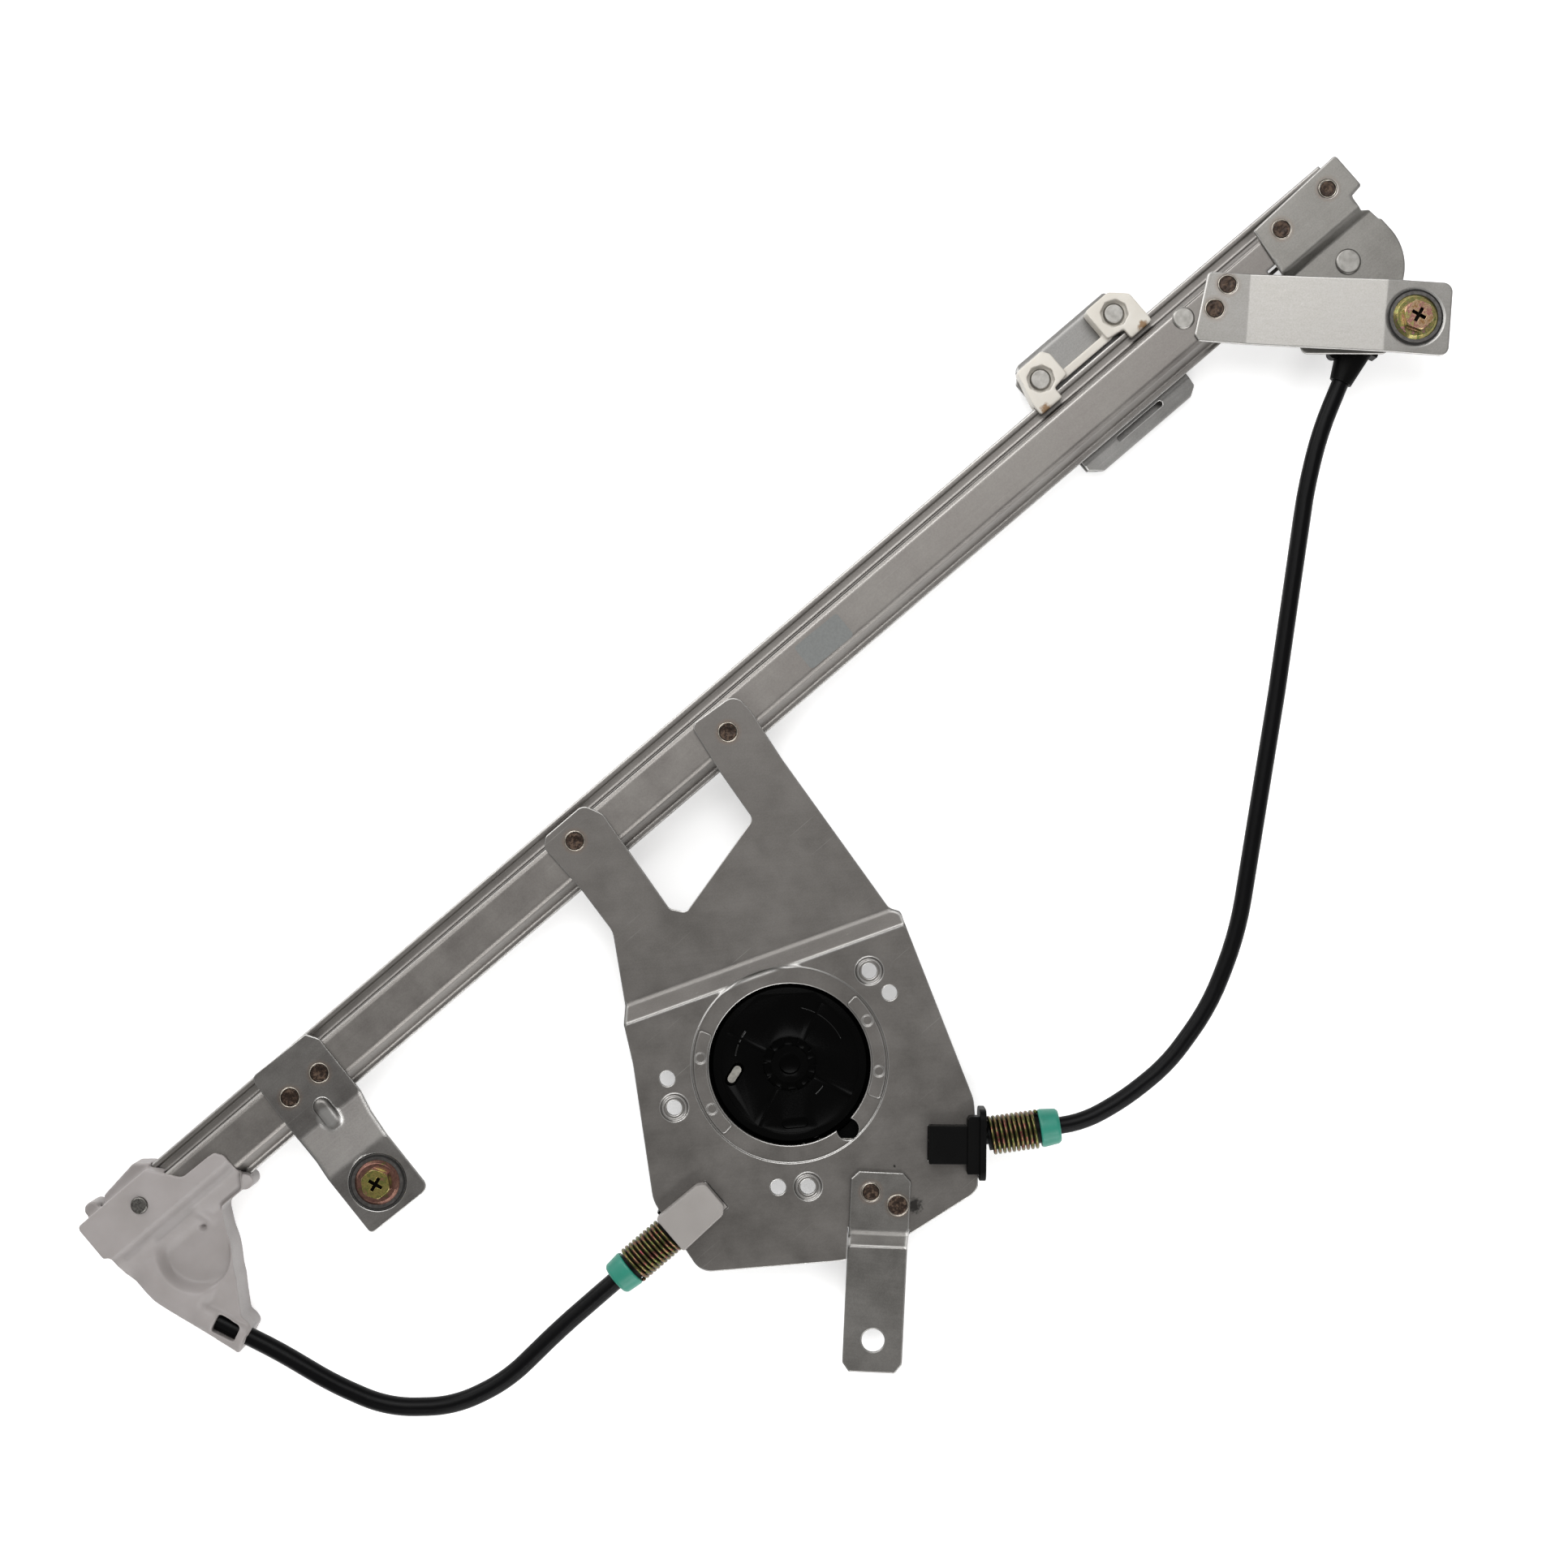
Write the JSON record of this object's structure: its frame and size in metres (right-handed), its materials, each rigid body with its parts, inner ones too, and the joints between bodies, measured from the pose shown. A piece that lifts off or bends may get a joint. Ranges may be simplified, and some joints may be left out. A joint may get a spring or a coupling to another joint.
{
  "type": "window regulator",
  "caption": "Cable window regulator for a car door: one guide rail with a sliding carriage, motor plate with cable drum, conduits and brackets.",
  "frame": {"origin": "on the cable drum's axis, at the flat back of the drum housing", "axes": "+X along the guide rail towards the upper pulley, +Y from the drum towards the rail, +Z towards the cabin side"},
  "size_m": [0.617, 0.2591, 0.0401],
  "materials": {
    "zinc_sheet": "satin zinc-plated sheet",
    "heat_tinted_weld": "heat-tinted",
    "yellow_zinc": "iridescent yellow chromate",
    "plain_steel": "satin",
    "spring_steel": "iridescent yellow chromate",
    "cable_steel": "stranded, oiled",
    "black_plastic": "moulded, slight sheen",
    "white_plastic": "moulded acetal, satin",
    "teal_plastic": "moulded",
    "conduit_sheath": "smooth sheath"
  },
  "bodies": {
    "frame": {"guide_rail": "zinc_sheet", "motor_plate": "zinc_sheet", "housing_retainers": "zinc_sheet", "tab_bracket": "zinc_sheet", "upper_bracket": "zinc_sheet", "lower_bracket": "zinc_sheet", "pulley_plate": "zinc_sheet", "plug_welds": "heat_tinted_weld", "door_screws": "yellow_zinc", "screw_washers": "yellow_zinc", "weld_nuts": "zinc_sheet", "pulley_axle": "plain_steel", "guide_rivet": "plain_steel", "stop_rivet": "plain_steel", "upper_conduit_holder": "black_plastic", "bottom_guide": "white_plastic", "lower_conduit_cap": "white_plastic", "upper_conduit_cap": "black_plastic", "lower_spring": "spring_steel", "upper_spring": "spring_steel", "lower_bush": "teal_plastic", "upper_bush": "teal_plastic", "lower_conduit": "conduit_sheath", "upper_conduit": "conduit_sheath", "lift_cable": "cable_steel", "drum_leads": "cable_steel", "drum_housing": "black_plastic"},
    "carriage": {"carrier_plate": "zinc_sheet", "slider_shoe": "white_plastic", "carriage_rivets": "plain_steel", "cable_clamp": "white_plastic", "cable_nipples": "plain_steel"},
    "drum": {"cable_drum": "black_plastic", "drum_nipple": "zinc_sheet", "cable_windings": "cable_steel"},
    "pulley": {"upper_pulley": "white_plastic"}
  },
  "joints": [
    {"name": "carriage_slide", "type": "slide", "parent": "frame", "child": "carriage", "axis": [1, 0, 0], "range_m": [-0.395, 0.003]},
    {"name": "drum_spin", "type": "hinge", "parent": "frame", "child": "drum", "pos_m": [0, 0, 0.012], "axis": [0, 0, 1], "range_deg": [-10, 800]},
    {"name": "pulley_spin", "type": "hinge", "parent": "frame", "child": "pulley", "pos_m": [0.3541, 0.0928, 0.0176], "axis": [0, 0, 1], "range_deg": [-15, 1500]}
  ],
  "couplings": [
    {"joint": "drum_spin", "follows": "carriage_slide", "rad_per_m": -34.722},
    {"joint": "pulley_spin", "follows": "carriage_slide", "rad_per_m": -64.935}
  ]
}
